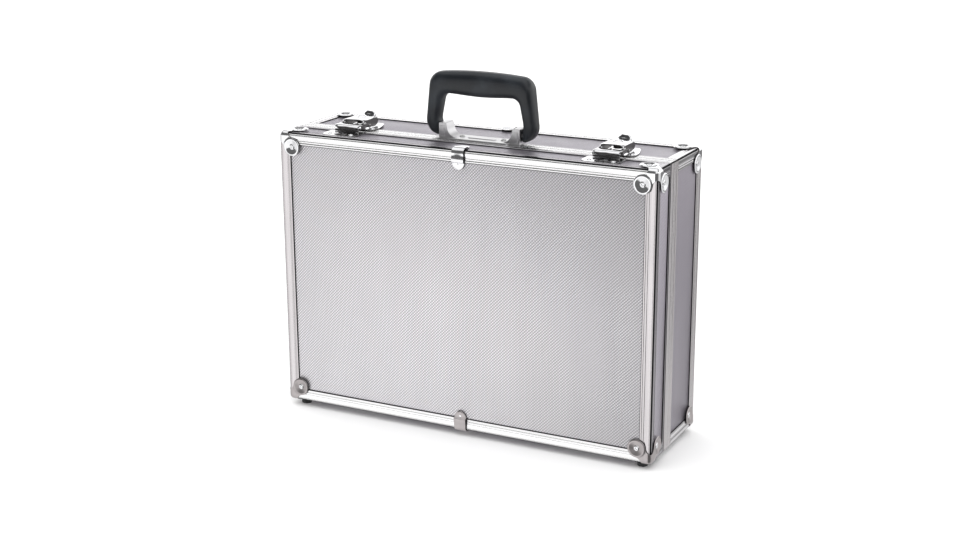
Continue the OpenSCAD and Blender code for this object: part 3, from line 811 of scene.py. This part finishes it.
def clip():
    """Strap over an edge, rounded at both ends, along X = 0. Y is the depth and Z the distance inward."""
    path = clip_path()
    total = [0.0]
    for a, b in zip(path, path[1:]):
        total.append(total[-1] + math.dist(a, b))
    across = [2 * i / CLIP_COLUMNS - 1 for i in range(CLIP_COLUMNS + 1)]
    verts, faces = [], []
    for (a, b), s in zip(path, total):
        end = min(s, total[-1] - s)
        half = CLIP_HALF
        if end < CLIP_HALF:
            half *= math.sqrt(max(1 - ((CLIP_HALF - end) / CLIP_HALF) ** 2, 0.0004))
        verts += [(half * t, a + 0.5 * t * t * (a < 0.1 and b > 5), b) for t in across]
    row = CLIP_COLUMNS + 1
    for k in range(len(path) - 1):
        for i in range(CLIP_COLUMNS):
            a = k * row + i
            faces.append((a, a + 1, a + row + 1, a + row))
    return verts, faces


def clips():
    head = placed(revolved(SOLID_HEAD), Matrix.Scale(1.1, 4))
    for face, sy, body in SHELLS:
        rivets = []
        for where, sz, metal in ENDS:
            edge = Matrix.Translation((0, sy * YH, ZC + sz * HALF_H)) @ Matrix.Diagonal((1, -sy, -sz, 1))
            pressed_sheet(face + "_strap_" + where, placed(clip(), edge), body, metal, face + "_clips", 35,
                          CLIP_WALL)
            for place, out in (((0, sy * YH, ZC + sz * (HALF_H - LOBE_IN)), (0, sy, 0)),
                               ((0, sy * (YH - 13), ZC + sz * HALF_H), (0, 0, sz))):
                rivets.append(placed(head, standing_on(place, out)))
        piece(face + "_strap_rivets", joined(rivets), body, "chrome", CHROME, [face + "_clip_rivets"])


# -------- handle and its bracket
# Heights here are above the top of the shell.

HANDLE_Y = -8.0
HANDLE_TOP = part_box("handle")[1].z / MM - ZT
GRIP_D = 21.6
LEG_R = 8
LEG_Z = 9
ARCH_R = 513.0
SHOULDER_R = 15.0
SHOULDER_ANGLE = 84.6
GRIP_LOW = 48.5
SAG = 1.6
SAG_HALF = 37.5


def handle_lines():
    """Outer and inner line of half the handle, paired point by point, from the middle to the leg."""
    low = HANDLE_TOP - ARCH_R
    lean = math.radians(SHOULDER_ANGLE)
    centre = ((ARCH_R - SHOULDER_R) * math.cos(lean), low + (ARCH_R - SHOULDER_R) * math.sin(lean))
    outer = arc(0, low, ARCH_R, 90, SHOULDER_ANGLE, 8)[:-1]
    outer += arc(*centre, SHOULDER_R, SHOULDER_ANGLE, 8, 9)[:-1]
    outer += between(arc(*centre, SHOULDER_R, 8, 8, 1)[0], (66.3, 20.7), 5)[:-1]
    outer += arc(50.5, 18.5, 16, 8, -76, 9)
    inner = [(x, GRIP_LOW - SAG * math.cos(x / SAG_HALF * math.pi / 2) ** 1.5)
             for x in (SAG_HALF * i / 8 for i in range(8))]
    inner += arc(SAG_HALF, 38.5, 10, 90, 8, 9)[:-1] + between((47.4, 39.9), (51.0, 20.5), 5)[:-1]
    inner += [(50.8, 19.4), (50.3, 18.2), (49.9, 16.8), (49.6, 14.8), (49.5, 12.6), (49.5, 10.4),
              (49.5, 8.2), (49.5, 6.2), (49.5, 4.6), (49.6, 3.4)]
    return outer, inner


def handle_depth(z):
    """Half of the handle's depth: thick in the grip, thinner in the legs, round at their ends."""
    if z < LEG_Z:
        return math.sqrt(max(LEG_R ** 2 - (LEG_Z - z) ** 2, 9))
    return LEG_R + (GRIP_D / 2 - LEG_R) * min(max((z - LEG_Z) / 50, 0.0), 1.0)


def handle():
    section = superellipse(36, 3.0)
    rings = []
    for (ox, oz), (ix, iz) in zip(*handle_lines()):
        mx, mz = (ox + ix) / 2, (oz + iz) / 2
        deep = handle_depth(mz)
        rings.append([(mx + (ox - ix) / 2 * c, HANDLE_Y + deep * s, ZT + mz + (oz - iz) / 2 * c)
                      for c, s in section])
    tip = [((x + 52.2) / 2, HANDLE_Y + (y - HANDLE_Y) * 0.55, z - 0.7) for x, y, z in rings[-1]]
    rings.append(tip)
    left = [[(-x, y, z) for x, y, z in ring] for ring in reversed(rings[1:])]
    piece("carry_handle", loft(left + rings), "handle", "handle_plastic", HANDLE_BLACK, ["handle"],
          sharp=70)


def housing_outline():
    """Outline of a bracket's housing from the front: concave towards the middle, rounded on top."""
    slope = arc(27.2, 13.0, 11.6, -80, -8, 9)
    return ([(49, 0), (49, 15.6)] + arc(47.6, 15.6, 1.4, 0, 90, 3)[1:] + arc(41.6, 15.0, 2.0, 90, 168, 4)
            + list(reversed(slope)) + [(27.0, 0)])


def upright(outline, half):
    """Solid over an outline in X and Z, with half its depth to either side of Y = 0."""
    return placed(prism(outline, -half, half), Matrix.Rotation(math.radians(90), 4, "X"))


def bracket():
    """Base plate with a raised bead, and a housing at each leg with a panel on its sides."""
    housing = upright(housing_outline(), 9)
    panel = upright(rounded([(41.5, 2), (46.5, 2), (46.5, 14), (42.5, 14)], 1.5), 9.5)
    plate = prism(rounded(rectangle(36, -13, 11), 3), 0, 1.5)
    bead = prism(rounded(rectangle(17, -4, 3), 3), 1.0, 2.1)
    whole = joined([both_sides(housing), both_sides(panel), plate, bead])
    piece("bracket", moved(whole, 0, HANDLE_Y, ZT), "base", "chrome", BRUSHED, ["handle_bracket"],
          bevel=0.5)
    dress("bracket_screws", ZINC, 0.15)
    dress("handle_pins", ZINC, 0.2)


# -------- latches
# A lever's parts are drawn round its pivot, and the plates from the front of the shell's top.

LATCH_X = 156.0
LEVER_Y = -18.0
LEVER_Z = ZT + 5.5
LOCK_Y = 16
LEVER_COLUMNS = 12
TAB_Y = 31
COLLAR = [(4.05, -1), (5.2, -1), (5.2, 5.5), (6.2, 5.8), (6.4, 6.2), (5.9, 6.6), (4.5, 6.6), (4.05, 6.3)]
BARREL = [(0, 6.1), (2.6, 6.1), (2.9, 5.9), (3.3, 5.9), (3.6, 6.1), (3.85, 6.0), (4.0, 5.8), (4.0, -1),
          (0, -1)]
# Pressed parts: upright faces take the dark plating of painted shade
PRESSED = {"others": [DARK_EDGE_SHADE], "choose": dark_edge_shade}


def at_latches(part):
    return joined([moved(part, x, 0, ZT) for x in (-LATCH_X, LATCH_X)])


def on_top(outline, radius, n, low, high):
    """Plate on the shell's top from an outline measured from its front."""
    return moved(prism(rounded(outline, radius, n), low, high), 0, -YH, 0)


def latch_plate():
    """Plate of a latch on the base, with a raised field and an ear at each end of the lever's pivot."""
    plate = on_top([(-24, 45), (24, 45), (25, 60), (17, 86), (-17, 86), (-25, 60)], 7, 8, 0, SHEET)
    field = on_top([(-13, 66), (13, 66), (11, 78), (-11, 78)], 3, 5, 0.8, 1.9)
    side = [(-3.5, 0), (3.5, 0), (3.5, 5.5)] + arc(0, 5.5, 3.5, 0, 180, 12)[1:]
    ear = lying(prism(side, 10.5, 11.7), LEVER_Y)
    return joined([plate, field, both_sides(ear)])


def strike():
    """Catch plate on the lid with a lip, a raised field and a rounded front."""
    flat = [(-21.5, 33), (-21.5, 15), (-17, 9), (17, 9), (21.5, 15), (21.5, 33)]
    plate = on_top(flat, 3.5, 6, -SHEET, 0.02)
    hook = [(28.4, -0.2), (29.6, 0.5), (30.0, 1.6), (30.0, 2.6), (30.4, 3.0), (31.2, 3.0), (31.6, 2.6),
            (31.6, -0.2)]
    lip = loft([[(x, y - YH, z) for y, z in hook] for x in (-15, 15)])
    field = on_top(rectangle(7, 14, 21), 2.5, 6, -0.2, 0.8)
    return joined([plate, lip, field])


def lever_rows():
    """Rows along a lever's cover to the end of its curled tab: Y, height, and half the width there."""
    rows = []
    for y, half in ((-1.4, 12.2), (-0.8, 12.9), (0, 13.3), (6, 13.5), (14, 13.3), (20, 12.4), (25, 10.8),
                    (28.5, 9.2), (TAB_Y, 8.2)):
        rows.append((y, 4.5 - max(-0.2 * y, 0.0), half))
    tab = arc(TAB_Y, 9.1, 4.0, -75, 20, 10)
    for k, (y, z) in enumerate(tab):
        rows.append((y, z - 0.6, 8.0 * math.sqrt(1 - (k / (len(tab) + 0.3)) ** 2)))
    return rows


def lever_cover():
    """Crowned sheet along the lever's rows, with turned down sides."""
    rows = lever_rows()
    rings = []
    for k, (y, z, half) in enumerate(rows):
        a, b = rows[max(k - 1, 0)], rows[min(k + 1, len(rows) - 1)]
        along = Vector((b[0] - a[0], b[1] - a[1])).normalized()
        out = Vector((-along.y, along.x))
        lower, upper = [], []
        for i in range(LEVER_COLUMNS + 1):
            t = 2 * i / LEVER_COLUMNS - 1
            crown = 0.7 * (1 - t * t) - 0.5 * max(abs(t) - 0.8, 0) / 0.2
            for line, layer in ((lower, 0.0), (upper, SHEET)):
                h = layer + crown - 0.15
                line.append((half * t, y + out.x * h, z + out.y * h))
        rings.append(list(reversed(lower)) + upper)
    return loft(rings)


def lever_sides():
    """Cheeks of a lever with the hubs of its pivot, the bail's studs, and the collar round the lock."""
    cheek_side = [(-2.5, -3.2), (28, -3.2), (29.5, 1.0), (27, 5.0), (-1.0, 5.0), (-3.5, 2.5), (-3.5, -1.5)]
    cheek = lying(prism(rounded(cheek_side, 1.4), 12.3, 13.5))
    stud = [(0, 12.3), (1.2, 12.3), (1.2, 15.4), (1.9, 15.4), (1.9, 15.8), (1.6, 16.1), (0, 16.1)]
    hub = [(0, 13.4), (3.2, 13.4), (3.2, 13.9), (2.6, 14.3), (0, 14.3)]
    ends = [cheek, lying(revolved(stud, 20), 8, -1.5), lying(revolved(hub, 20))]
    return joined([both_sides(end) for end in ends] + [moved(ring_solid(COLLAR), 0, LOCK_Y, 0)])


def tab_curl_black():
    """Black piece that fills the curl of the lever's tab."""
    rows = []
    for k, a in enumerate((-62, -50, -36, -22, -8, 4)):
        half = 6.2 * math.sqrt(1 - ((k - 1.6) / 3.9) ** 2)
        mid, out = math.radians(a), 3.0 + 0.5 * math.sin(math.pi * (k + 1) / 7)
        row = []
        for r in (3.55, 4.1 - out * 0.55):
            line = [(half * t, TAB_Y + r * math.cos(mid), 8.5 + r * math.sin(mid))
                    for t in (-1, -0.7, 0, 0.7, 1)]
            row += line if r > 3 else list(reversed(line))
        rows.append(row)
    return loft(rows)


def bail():
    """Bail from the lever's pivot: two arms, and a bowed front plate that hooks down over the lip."""
    side = [(8, -4.1)] + arc(8, -1.5, 2.6, -80, 110, 12) + [(4, 1.6), (-9, 2.0), (-9, -1.0), (4, -1.2)]
    arm = lying(prism(side, 14.0, 15.3))
    strip = [(-6.5, 1.9), (-9, 2.0), (-13, 2.3), (-16.5, 2.3), (-18.6, 1.7), (-19.7, 0.5), (-20.0, -0.8),
             (-20.0, -2.1)]
    back = [(y + 1.3, z) if y < -19 else (y + (0.8 if y < -17 else 0.0), z - 1.4)
            for y, z in reversed(strip)]
    back[0] = (-18.6, -2.1)
    rings = []
    for t in (-1, -0.97, -0.9, -0.6, 0, 0.6, 0.9, 0.97, 1):
        narrow = 0.0 if abs(t) < 0.95 else (abs(t) - 0.95) / 0.05
        bow = 1.3 * abs(t) ** 3
        rings.append([(15.3 * t if z > -0.5 else 11.0 * t, y + bow + 1.2 * narrow if y < -15 else y,
                       z - 0.3 * narrow + 0.35 * (1 - t * t)) for y, z in strip + back])
    return joined([both_sides(arm), loft(rings)])


def keyhole_shadow():
    """Black sheet on the lock's face, painted shadow of its keyhole: a slot that ends in a round."""
    slot = prism(rounded(rectangle(0.5, -2.3, 1.2), 0.4), 6.0, 6.14)
    return joined([slot, moved(revolved([(0, 6.14), (1.0, 6.14), (1.0, 6.0), (0, 6.0)], 20), 0, 1.2, 0)])


def on_the_shell(name, part, body, node, bevel):
    piece(name, at_latches(part), body, "chrome", CHROME, [node], bevel=bevel, **PRESSED)


def latch_rivets(name, places, body, node):
    head = revolved(SOLID_HEAD)
    heads = joined([moved(head, x, y - YH, z) for x, y, z in places])
    piece(name, at_latches(heads), body, "chrome", CHROME, [node])


def latch_on_lever(side, x):
    """Moving parts of one latch."""
    place = Matrix.Translation((x, LEVER_Y, LEVER_Z))
    spot = Matrix.Translation((x, LEVER_Y + LOCK_Y, LEVER_Z))
    lever, lock = "lever_" + side, "lock_" + side
    piece("lever_cover_" + side, placed(lever_cover(), place), lever, "chrome", CHROME, [lever], sharp=50,
          **PRESSED)
    piece("tab_curl_black_" + side, placed(tab_curl_black(), place), lever, "handle_plastic", RUBBER)
    piece("lever_sides_" + side, placed(lever_sides(), place), lever, "chrome", CHROME, [lever], bevel=0.2,
          **PRESSED)
    piece("bail_plate_" + side, placed(bail(), place), "bail_" + side, "chrome", CHROME, ["bail_" + side],
          bevel=0.25, **PRESSED)
    piece(lock, placed(revolved(BARREL), spot), lock, "zinc_steel", ZINC, ["lock_barrel_" + side])
    # Black sheet for the keyhole: painted shadow
    piece("keyhole_shadow_" + side, placed(keyhole_shadow(), spot), lock, "zinc_steel", RUBBER)


def latches():
    on_the_shell("latch_bases", latch_plate(), "base", "latch_plates", 0.3)
    on_the_shell("strikes", strike(), "lid", "strike_plates", 0.25)
    latch_rivets("latch_rivet_heads", [(-19.8, 53, SHEET), (19.8, 53, SHEET), (0, 82, SHEET)], "base",
                 "latch_rivets")
    latch_rivets("strike_rivet_heads", [(-13.5, 17, 0), (13.5, 17, 0)], "lid", "strike_rivets")
    dress("latch_pins", ZINC, 0.15)
    latch_on_lever("left", -LATCH_X)
    latch_on_lever("right", LATCH_X)


# -------- lining and foam

PAD_GAP = 1.2
PAD_HALF_X = 211.0
LID_PAD = 20
BASE_PAD = 25
CRATE_PITCH = 15.0
CUBE = 15.07
# Rings of a lining from its floor, over the hem at its mouth and back: how far inward, whether the next
# number counts from the mouth or from the floor, how far from there, and the radius of the corners
TRAY_RINGS = ((0.0, False, 0.0, 2.0), (0.0, True, 1.0, 2.0), (0.15, True, 0.3, 2.0), (0.5, True, 0.0, 2.0),
              (0.85, True, 0.3, 2.0), (1.0, True, 1.0, 2.0), (1.1, True, 3.0, 2.0), (1.0, False, 6.0, 3.0),
              (1.3, False, 3.2, 4.0), (2.2, False, 1.8, 5.0), (4.0, False, 1.1, 6.0))


def frame_ring(half_x, half_z, radius, n=6):
    """Rounded rectangle round the case's middle, in X and Z."""
    out = []
    for cx, cz, a in ((1, 1, 0), (-1, 1, 90), (-1, -1, 180), (1, -1, 270)):
        out += arc(cx * (half_x - radius), ZC + cz * (half_z - radius), radius, a, a + 90, n)
    return out


def tray(floor_y, mouth_y):
    """Cloth lining: outer wall, rolled hem at the mouth, inner wall and a softly uneven floor."""
    way = 1 if mouth_y > floor_y else -1
    hx, hz = XH - INNER, HALF_H - INNER
    rings = []
    for inward, at_mouth, away, radius in TRAY_RINGS:
        y = mouth_y - away * way if at_mouth else floor_y + away * way
        rings.append([(x, y, z) for x, z in frame_ring(hx - inward, hz - inward, radius)])
    edge = rings[-1]
    for share in (0.9, 0.75, 0.55, 0.35, 0.12):
        ring = []
        for x, y, z in edge:
            wave = noise.noise(Vector((x * share, z * share, floor_y)) * 0.02)
            ring.append((x * share, floor_y + (1.0 + 0.25 * wave) * way, ZC + (z - ZC) * share))
        rings.append(ring)
    return loft(rings)


def pad(floor_y, thick, way, relief):
    """Foam block: a grid whose front follows relief(x, z), with rounded edges and a flat back."""
    hx, hz = PAD_HALF_X, HALF_H - INNER - 2.0
    nx, nz = ((250, 178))
    verts, faces = [], []
    for j in range(nz + 1):
        for i in range(nx + 1):
            x, z = hx * (2 * i / nx - 1), hz * (2 * j / nz - 1)
            edge = min(hx - abs(x), hz - abs(z))
            round_off = 3.0 * (1 - min(edge / 4.0, 1.0)) ** 2
            verts.append((x, floor_y + way * (thick - round_off - relief(x, z)), ZC + z))
    row = nx + 1
    for j in range(nz):
        for i in range(nx):
            a = j * row + i
            faces.append((a, a + 1, a + row + 1, a + row))
    rim = list(range(row)) + [j * row + nx for j in range(1, nz + 1)]
    rim += [nz * row + i for i in range(nx - 1, -1, -1)] + [j * row for j in range(nz - 1, 0, -1)]
    first = len(verts)
    verts += [(verts[i][0], floor_y, verts[i][2]) for i in rim]
    n = len(rim)
    faces += [(rim[k], first + k, first + (k + 1) % n, rim[(k + 1) % n]) for k in range(n)]
    faces.append(tuple(first + k for k in range(n)))
    return verts, faces


def egg_crate(x, z):
    wave = math.cos(x * math.pi / CRATE_PITCH) * math.cos(z * math.pi / CRATE_PITCH)
    return 4.2 * (1 - wave) + 0.4 * noise.noise(Vector((x, z, 3.0)) * 0.05)


def plucked(x, z):
    """Foam scored into small cubes that can be plucked out."""
    u, v = x / CUBE, z / CUBE
    near = min(abs(u - round(u)), abs(v - round(v))) * CUBE
    uneven = noise.noise(Vector((math.floor(u) * 3.7, math.floor(v) * 5.1, 0.5)))
    return 2.4 * math.exp(-(near / 1.5) ** 2) + 0.3 * uneven + 0.4


def inside():
    piece("lid_cloth", tray(INNER - YH, LID_EDGE - 4), "lid", "lining_fabric", LINING, ["lid_lining"])
    piece("base_cloth", tray(YH - INNER, RIM_EDGE + 1.6), "base", "lining_fabric", LINING, ["base_lining"])
    lid_pad = piece("lid_foam_pad", pad(INNER + PAD_GAP - YH, LID_PAD, 1, egg_crate), "lid", "foam", FOAM,
                    ["lid_foam"])
    base_pad = piece("base_foam_pad", pad(YH - INNER - PAD_GAP, BASE_PAD, -1, plucked), "base", "foam",
                     FOAM, ["base_foam"])


# -------- all pieces

trims()
caps()
clips()
handle()
bracket()
latches()
inside()
for half in ("lid", "base"):
    for side, kind in (("left", "side"), ("right", "side"), ("top", "top"), ("bottom", "top")):
        dress(half + "_" + side + "_panel", PANEL[half, kind])
for face in ("front", "back"):
    dress(face + "_panel", PANEL_FACE)
    dress(face + "_feet", RUBBER, 0.3)
for metal in ("lid_hinge_leaves", "base_hinge_leaves", "hinge_pins", "stay_pivots", "stay_studs",
              "stay_left", "stay_right"):
    dress(metal, ZINC, 0.2)

# -------- camera, floor and light
# The camera's azimuth, elevation and roll in degrees, its place in metres, and its lens

VIEW = (26.85, 16.48, -0.21)
EYE = (0.78094, -1.53654, 0.67903)
LENS = 59.31
FLOOR_HALF = 30.0
SUN_AIM = (0.25, 0.35, -1.0)
SUN_STRENGTH = 2.3
SUN_ANGLE = 100


def camera():
    """Stands where the photograph's camera stood and looks the same way, with the same roll."""
    azimuth, elevation, roll = (math.radians(a) for a in VIEW)
    back = Vector((math.sin(azimuth) * math.cos(elevation), -math.cos(azimuth) * math.cos(elevation),
                   math.sin(elevation)))
    right = Vector((math.cos(azimuth), math.sin(azimuth), 0.0))
    up = back.cross(right)
    turned_right = right * math.cos(roll) + up * math.sin(roll)
    turned_up = up * math.cos(roll) - right * math.sin(roll)
    data = bpy.data.cameras.new("camera")
    data.sensor_width = 36.0
    data.lens = LENS
    data.clip_end = 50.0
    eye = bpy.data.objects.new("camera", data)
    bpy.context.scene.collection.objects.link(eye)
    facing = Matrix((turned_right, turned_up, back)).transposed().to_4x4()
    eye.matrix_world = Matrix.Translation(EYE) @ facing
    bpy.context.scene.camera = eye


def sun():
    """Even soft light over the whole floor. Metal doesn't mirror it."""
    data = bpy.data.lights.new("sun", "SUN")
    data.energy = SUN_STRENGTH
    data.angle = math.radians(SUN_ANGLE)
    lamp = bpy.data.objects.new("sun", data)
    bpy.context.scene.collection.objects.link(lamp)
    lamp.rotation_euler = Vector(SUN_AIM).to_track_quat("-Z", "Y").to_euler()
    lamp.visible_glossy = False


def floor():
    """Pale plane. Glossy rays pass it, so metal reflects the studio around it instead."""
    mesh = bpy.data.meshes.new("floor")
    corners = [(x * FLOOR_HALF, y * FLOOR_HALF, 0) for x, y in ((-1, -1), (1, -1), (1, 1), (-1, 1))]
    mesh.from_pydata(corners, [], [(0, 1, 2, 3)])
    s = Shader("studio_floor")
    grain = s.noise(3.0, 3.0)
    mesh.materials.append(s.set(Base_Color=s.mix(grain, (0.90, 0.90, 0.90), (0.93, 0.93, 0.93)),
                                Roughness=s.ramp(grain, 0.2, 0.8, 0.8, 0.9)))
    ground = bpy.data.objects.new("floor", mesh)
    bpy.context.scene.collection.objects.link(ground)
    ground.visible_glossy = False


def studio_front(s, across, up):
    """Brightness on the camera's side: softbox low on the left, light high on the right, dark between."""
    low_left = s.times(s.ramp(across, -0.04, 0.10, 1.0, 0.0), s.ramp(up, -0.10, 0.04, 1.0, 0.0))
    low_left = s.times(low_left, s.ramp(up, -0.55, -0.28, 0.80, 1.0))
    softbox = s.times(s.ramp(across, -0.80, -0.50, 0.95, 1.38), low_left)
    high_right = s.times(s.ramp(across, 0.05, 0.25, 0.0, 1.0), s.ramp(up, 0.0, 0.15, 0.0, 1.0))
    lit = s.math("MAXIMUM", softbox, s.times(high_right, high_right))
    return s.math("MAXIMUM", lit, 0.14)


def studio_behind(s, across, away, up):
    """Brightness behind the case: lighter upwards to a dark band, with a small dark patch low right."""
    behind = s.times(s.ramp(up, -0.15, 0.15, 0.80, 1.45), s.ramp(up, 0.46, 0.54, 1.0, 0.12))
    wide = s.times(s.ramp(across, 0.16, 0.24, 0.0, 1.0), s.ramp(across, 0.42, 0.52, 1.0, 0.0))
    tall = s.times(s.ramp(up, -0.36, -0.30, 0.0, 1.0), s.ramp(up, -0.10, -0.04, 1.0, 0.0))
    patch = s.times(s.times(wide, tall), s.ramp(away, 0.5, 0.7, 0.0, 1.0))
    return s.blend(patch, behind, 0.22)


def world():
    """The studio that metal mirrors, by direction, with a bright ceiling. The camera itself sees white."""
    sky = bpy.data.worlds.new("studio")
    bpy.context.scene.world = sky
    sky.use_nodes = True
    s = Nodes(sky.node_tree)
    across, away, up = s.split(s.add("ShaderNodeTexCoord").outputs["Generated"])
    front = studio_front(s, across, up)
    behind = studio_behind(s, across, away, up)
    around = s.blend(s.ramp(away, -0.35, 0.05, 0.0, 1.0), front, behind)
    studio = s.blend(s.ramp(up, 0.70, 0.78, 0.0, 1.0), around, 1.1)
    seen = s.add("ShaderNodeLightPath").outputs["Is Camera Ray"]
    background = sky.node_tree.nodes["Background"]
    background.inputs[0].default_value = (1.0, 1.0, 1.0, 1.0)
    s.put(background, 1, s.blend(seen, studio, 1.0))


camera()
floor()
world()
sun()
bpy.context.scene.view_settings.view_transform = "Standard"
